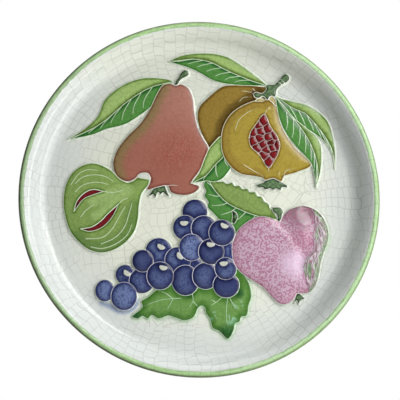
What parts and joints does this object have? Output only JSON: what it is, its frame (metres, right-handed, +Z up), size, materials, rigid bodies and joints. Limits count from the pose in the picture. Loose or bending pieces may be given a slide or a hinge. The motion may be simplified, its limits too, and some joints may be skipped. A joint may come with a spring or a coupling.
{
  "type": "decorative wall plate",
  "caption": "Round glazed earthenware wall plate with a curved rim, a foot ring and a raised fruit-and-leaf decoration on its face.",
  "frame": {"origin": "a point on the flat of the foot ring at twelve o'clock, where the plate touches the wall; the plate's centre is 108 mm below it", "axes": "+Z up the wall, +X to the right as seen from the front, +Y into the wall; the decorated face looks along -Y"},
  "size_m": [0.36, 0.0334, 0.36],
  "materials": {
    "ground_glaze": "glossy cream-white glaze, finely crackled all over"
  },
  "bodies": {
    "root": {"plate": "ground_glaze"}
  },
  "joints": []
}
